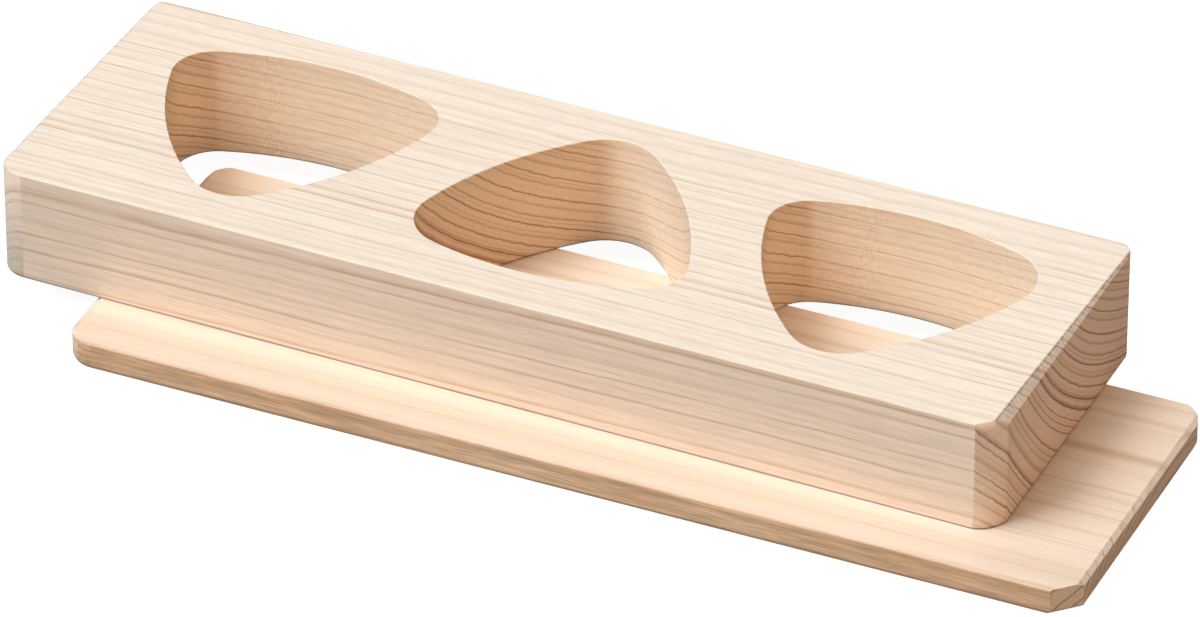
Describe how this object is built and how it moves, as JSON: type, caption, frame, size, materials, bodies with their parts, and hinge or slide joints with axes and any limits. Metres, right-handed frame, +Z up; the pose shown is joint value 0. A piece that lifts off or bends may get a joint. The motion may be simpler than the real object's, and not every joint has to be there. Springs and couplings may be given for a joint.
{
  "type": "rice cake mould",
  "caption": "Thick wooden block with three rounded-triangle cavities cut right through, standing on a thin flat board that closes them; the block lifts off.",
  "frame": {"origin": "centre of the base board's underside, on the surface that the object stands on", "axes": "+Z up, +X along the board, +Y towards the side where the block overhangs the board's long edge"},
  "size_m": [0.3182, 0.1164, 0.0405],
  "materials": {
    "block_wood": "planed, unvarnished, fine straight grain",
    "board_wood": "planed, unvarnished, broad flat grain"
  },
  "bodies": {
    "board": {"base_board": "board_wood"},
    "block": {"mould_block": "block_wood"}
  },
  "joints": [
    {"name": "mould_lift", "type": "slide", "parent": "board", "child": "block", "axis": [0, 0, 1], "range_m": [0, 0.08]}
  ]
}
